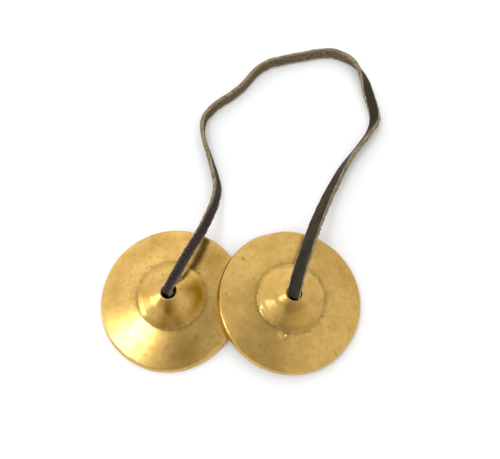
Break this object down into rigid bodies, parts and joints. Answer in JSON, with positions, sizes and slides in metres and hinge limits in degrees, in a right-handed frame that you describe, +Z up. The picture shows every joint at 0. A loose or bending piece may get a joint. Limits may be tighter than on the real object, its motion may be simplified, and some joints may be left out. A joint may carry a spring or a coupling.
{
  "type": "finger cymbals",
  "caption": "Two small thick brass hand cymbals with raised bosses, joined by a flat leather strap knotted inside each bell; struck edge to edge to ring.",
  "frame": {"origin": "on the table, midway between the two cymbals' axes: the bottom centre of the box round both cymbals", "axes": "+X from the left cymbal to the right one, +Y towards the crown of the strap's loop, +Z up"},
  "size_m": [0.1355, 0.1773, 0.0245],
  "materials": {
    "brass_left": "satin, lightly pitted, with brown and olive patches of tarnish",
    "brass_right": "satin, lightly pitted, paler than the other cymbal",
    "strap_leather": "one smooth dark face, one fibrous dark face, raw tan cut edges"
  },
  "bodies": {
    "left_cymbal": {"left_cymbal": "brass_left"},
    "left_knot": {"left_knot": "strap_leather", "left_tail": "strap_leather"},
    "strap_left": {"strap_left": "strap_leather"},
    "strap_right": {"strap_right": "strap_leather"},
    "right_knot": {"right_knot": "strap_leather", "right_tail": "strap_leather"},
    "right_cymbal": {"right_cymbal": "brass_right"}
  },
  "joints": [
    {"name": "left_cymbal_spin", "type": "hinge", "parent": "left_cymbal", "child": "left_knot", "pos_m": [-0.0265, 0, 0.015], "axis": [0, 0, 1], "continuous": true},
    {"name": "left_strap_lift", "type": "hinge", "parent": "left_knot", "child": "strap_left", "pos_m": [-0.0265, 0, 0.015], "axis": [0.9025, -0.4307, 0], "range_deg": [0, 90]},
    {"name": "strap_spread", "type": "hinge", "parent": "strap_left", "child": "strap_right", "pos_m": [0.04025, 0.1404, 0.0027], "axis": [0, 0, 1], "range_deg": [0, 45]},
    {"name": "right_cymbal_rock", "type": "hinge", "parent": "strap_right", "child": "right_knot", "pos_m": [0.02765, 0, 0.01745], "axis": [0.3126, 0.9499, 0], "range_deg": [0, 35]},
    {"name": "right_cymbal_spin", "type": "hinge", "parent": "right_knot", "child": "right_cymbal", "pos_m": [0.02765, 0, 0.01745], "axis": [0.0768, 0, 0.997], "continuous": true}
  ]
}
